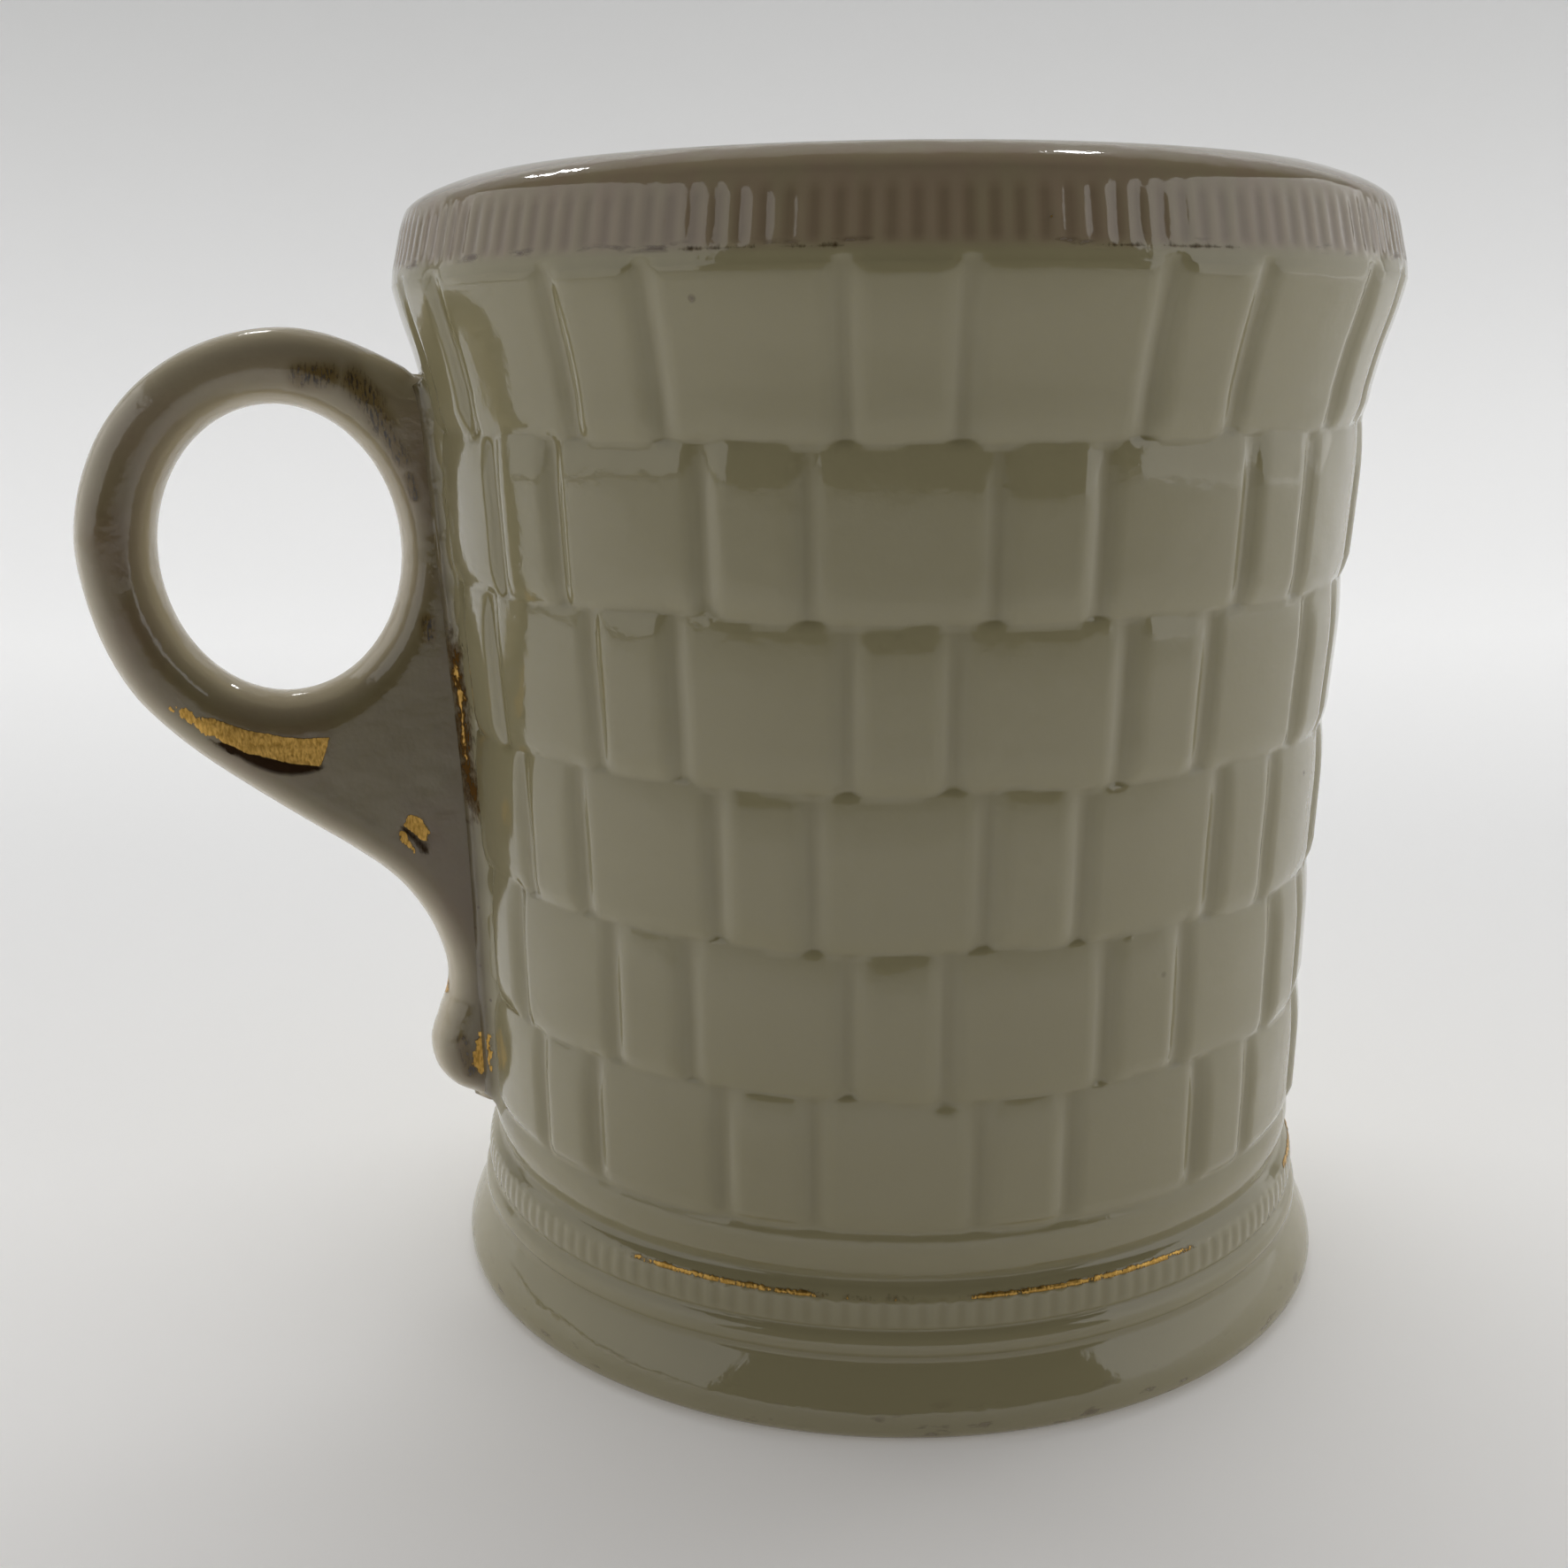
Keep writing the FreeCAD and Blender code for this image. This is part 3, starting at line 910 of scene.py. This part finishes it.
# each of these gives, at each point, how far it is inside the gold and inside the burnt edge,
# and how worn the gold is there
def goldOnHandle(points, normals):
    flat = points[:, [0, 2]]
    ring, tail = depthIn(ringGold, flat), depthIn(tailGold, flat)
    edge = depthIn(tailEdge, flat) - 0.05
    drops = np.maximum(depthIn(dropGold, flat), depthIn(neckGold, flat))
    shine = np.maximum(np.maximum(ring, tail), np.maximum(edge, drops))
    burn = np.maximum(depthIn(ringBurn, flat), depthIn(tailBurn, flat))
    shine = np.where(depthIn(tailBurn, flat) > 0.05, -0.5, shine)
    wear = np.clip((-58.2 - flat[:, 0]) / 2.4, 0.0, 1.0)
    wear = np.where(ring > tail, wear, 0.25)
    wear = np.where(flat[:, 1] < 30, 0.5, wear)
    front = normals[:, 1] < 0.05
    return np.where(front, shine, -9.0), np.where(front, burn, -9.0), wear


def goldOnSeam(points, normals):
    side, height = points[:, 1], points[:, 2]
    radius = np.hypot(points[:, 0], side)
    near = 0.5 - abs(radius - wallRadius(height) - 0.6)
    run = between(height, leaf["seamGold"]) * 0.3
    lower = between(height, leaf["seamDropGold"]) * 0.3
    shine = np.minimum(near, np.maximum(run, lower)) - 0.2
    burn = np.minimum(near, between(height, leaf["seamBurn"]) * 0.15)
    front = side < -3.0
    return (np.where(front, shine, -9.0), np.where(front, burn, -9.0),
            np.full(len(points), 0.5))


def goldOnFoot(points, normals):
    line = (0.23 - abs(points[:, 2] - leaf["footLineHeight"])) * 2.0
    runs = depthInRuns(footKept, degreesRound(points), leaf["footRadius"])
    shine = np.minimum(line, runs * 0.12)
    return shine, shine - 0.1, np.full(len(points), 0.32)


def goldOnLip(points, normals):
    angles, height = degreesRound(points), points[:, 2]
    kept = depthInRuns(lipKept, angles, leaf["lipGoldRadius"])
    stained = depthInRuns(lipStain, angles, leaf["lipStainRadius"])
    shine = np.minimum(0.3 - abs(height - leaf["lipGoldHeight"]), kept)
    burn = np.minimum((0.14 - abs(height - leaf["lipStainHeight"])) * 2, stained * 0.2)
    return shine, np.minimum(burn, 0.08), np.full(len(points), 0.35)


def makeLeaf(name, host, measure):
    # a thin closed skin over the part of another piece's surface that measure keeps
    mesh = host.data
    points = np.zeros(len(mesh.vertices) * 3)
    mesh.vertices.foreach_get("co", points)
    points = points.reshape(-1, 3) / millimetre
    normals = np.zeros(len(mesh.vertices) * 3)
    mesh.vertices.foreach_get("normal", normals)
    normals = normals.reshape(-1, 3)
    shine, burn, wear = measure(points, normals)
    wanted = np.maximum(shine, burn) > -leaf["margin"]
    faces = [list(face.vertices) for face in mesh.polygons if all(wanted[list(face.vertices)])]
    used = sorted({corner for face in faces for corner in face})
    order = {corner: i for i, corner in enumerate(used)}
    count = len(used)
    outer = points[used] + normals[used] * leaf["lift"]
    inner = points[used] - normals[used] * leaf["sink"]
    edges = dict.fromkeys((a, b) for face in faces for a, b in zip(face, face[1:] + face[:1]))
    made = [[order[corner] for corner in face] for face in faces]
    made += [[order[corner] + count for corner in reversed(face)] for face in faces]
    made += [[order[b], order[a], order[a] + count, order[b] + count]
             for a, b in edges if (b, a) not in edges]
    piece = addMesh(name, np.vstack([outer, inner]), made)
    for title, values in (("gold", shine), ("burnt", burn), ("wear", wear)):
        keepValues(piece, title, np.concatenate([values[used], values[used]]))
    piece.data.materials.append(gold)
    return piece


mountPiece(makeLeaf("handleGold", handlePiece, goldOnHandle), ["handle_gilding"])
mountPiece(makeLeaf("seamGold", slipPiece, goldOnSeam), ["seam_gilding"])
mountPiece(makeLeaf("footGold", cupPiece, goldOnFoot), ["foot_gilding"])
mountPiece(makeLeaf("lipGold", cupPiece, goldOnLip), ["rim_gilding"])


shot = {
    "place": (-0.04508, -0.15366, 0.08099),
    "sensor": 36.0,
    "heading": 12.90,
    "down": 13.56,
    "roll": -0.396,
    "lens": 40.57,
}


heading = math.radians(shot["heading"])
ahead = Vector((math.sin(heading), math.cos(heading), 0.0))
aside = Vector((math.cos(heading), -math.sin(heading), 0.0))


def makeCamera():
    down, roll = math.radians(shot["down"]), math.radians(shot["roll"])
    forward = ahead * math.cos(down) - Vector((0.0, 0.0, math.sin(down)))
    upright = aside.cross(forward)
    right = aside * math.cos(roll) + upright * math.sin(roll)
    up = upright * math.cos(roll) - aside * math.sin(roll)
    data = bpy.data.cameras.new("camera")
    data.lens = shot["lens"]
    data.sensor_width = shot["sensor"]
    data.clip_start = 0.01
    camera = bpy.data.objects.new("camera", data)
    bpy.context.scene.collection.objects.link(camera)
    turn = Matrix((right, up, -forward)).transposed()
    camera.matrix_world = Matrix.Translation(shot["place"]) @ turn.to_4x4()
    bpy.context.scene.camera = camera


# the paper, in metres
stage = {
    "paper": (0.80, 0.80, 0.80, 1.0),
    "backDistance": 0.66,
    "halfWidth": 1.3,
    "front": 0.9,
    "height": 0.9,
    "bend": 0.30,
    "backGlow": 0.05,
    "frontGlow": 0.17,
    "shadedUpperPaper": (0.60, 0.605, 0.605, 1.0),
}


def makePaper():
    # white paper whose upright part glows a little, as if lit from behind; the floor's strip round
    # the cup glows too, as painted light on the cup's front, and the upper paper is painted darker
    # as painted shade
    material, graph = newMaterial("paper")
    x, y, z = graph.parts(graph.node("ShaderNodeTexCoord", None, None, 3))
    depth = x * ahead.x + y * ahead.y
    glow = z.ramp(0.06, 0.22, 0.0, stage["backGlow"], "SMOOTHSTEP") \
        + depth.ramp(0.15, -0.10, 0.0, stage["frontGlow"], "SMOOTHSTEP") * depth.ramp(-0.22, -0.10)
    colour = graph.mix(z.ramp(0.03, 0.26, 0.0, 1.0, "SMOOTHSTEP"), stage["paper"],
                       stage["shadedUpperPaper"])
    shader = graph.node("ShaderNodeBsdfPrincipled", None, {
        "Base Color": colour, "Roughness": 0.7, "Specular IOR Level": 0.2,
        "Emission Color": graph.join(glow, glow * 0.95, glow * 0.91), "Emission Strength": 1.0})
    finishMaterial(graph, shader)
    return material


def makeSweep():
    # one sheet of paper: the floor, a wide bend and the backdrop
    section = [(-stage["front"], 0.0), (0.0, 0.0), (stage["backDistance"] - stage["bend"], 0.0)]
    for k in range(1, 17):
        angle = math.pi / 2 * k / 16
        section.append((stage["backDistance"] - stage["bend"] * (1 - math.sin(angle)),
                        stage["bend"] * (1 - math.cos(angle))))
    section.append((stage["backDistance"], stage["height"]))
    points = []
    for depth, height in section:
        for side in (-1, 1):
            spot = ahead * depth + aside * side * stage["halfWidth"] + Vector((0, 0, height))
            points.append(tuple(spot / millimetre))
    faces = [(2 * k, 2 * k + 1, 2 * k + 3, 2 * k + 2) for k in range(len(section) - 1)]
    sweep = addMesh("paperSweep", points, faces)
    sweep.data.materials.append(makePaper())


lights = {
    "behind": {"ahead": 0.50, "aside": 0.0, "up": 0.62, "wide": 2.0, "tall": 0.35, "watts": 7.5,
               "aim": (0.0, 0.0, 0.0), "glossy": False, "diffuse": True},
    "above": {"ahead": -0.25, "aside": 0.0, "up": 0.80, "wide": 1.2, "tall": 0.8, "watts": 0.65,
              "aim": (0.0, 0.0, 0.05), "glossy": False, "diffuse": True},
    "left": {"ahead": -0.12, "aside": -0.8, "up": 0.35, "wide": 1.4, "tall": 0.7, "watts": 2.1,
             "aim": (0.0, 0.0, 0.05), "glossy": True, "diffuse": True},
    "right": {"ahead": -0.02, "aside": 0.8, "up": 0.32, "wide": 1.2, "tall": 0.7, "watts": 2.4,
              "aim": (0.0, 0.0, 0.05), "glossy": True, "diffuse": True},
    "glintLeft": {"ahead": 0.56, "aside": -0.27, "up": 0.56, "wide": 0.08, "tall": 0.02,
                  "watts": 0.14, "aim": (0.0, 0.0, 0.09), "glossy": True, "diffuse": False},
    "glintRight": {"ahead": 0.55, "aside": 0.19, "up": 0.62, "wide": 0.04, "tall": 0.04,
                   "watts": 0.12, "aim": (0.0, 0.0, 0.09), "glossy": True, "diffuse": False},
}
worldLight = {"colour": (1.0, 0.88, 0.68, 1.0), "strength": 0.02}


def makeLights():
    def spot(forward, side, up):
        return ahead * forward + aside * side + Vector((0, 0, up))

    for name, values in lights.items():
        data = bpy.data.lights.new(name, "AREA")
        data.shape = "RECTANGLE"
        data.size = values["wide"]
        data.size_y = values["tall"]
        data.energy = values["watts"]
        lamp = bpy.data.objects.new(name, data)
        bpy.context.scene.collection.objects.link(lamp)
        lamp.visible_glossy = values["glossy"]
        lamp.visible_diffuse = values["diffuse"]
        lamp.location = spot(values["ahead"], values["aside"], values["up"])
        aim = spot(*values["aim"]) - lamp.location
        lamp.rotation_euler = aim.to_track_quat("-Z", "Y").to_euler()
    world = bpy.data.worlds.new("world")
    bpy.context.scene.world = world
    world.use_nodes = True
    background = world.node_tree.nodes["Background"]
    background.inputs["Color"].default_value = worldLight["colour"]
    background.inputs["Strength"].default_value = worldLight["strength"]
    bpy.context.scene.view_settings.view_transform = "Standard"


makeCamera()
makeSweep()
makeLights()
print("stage ready")
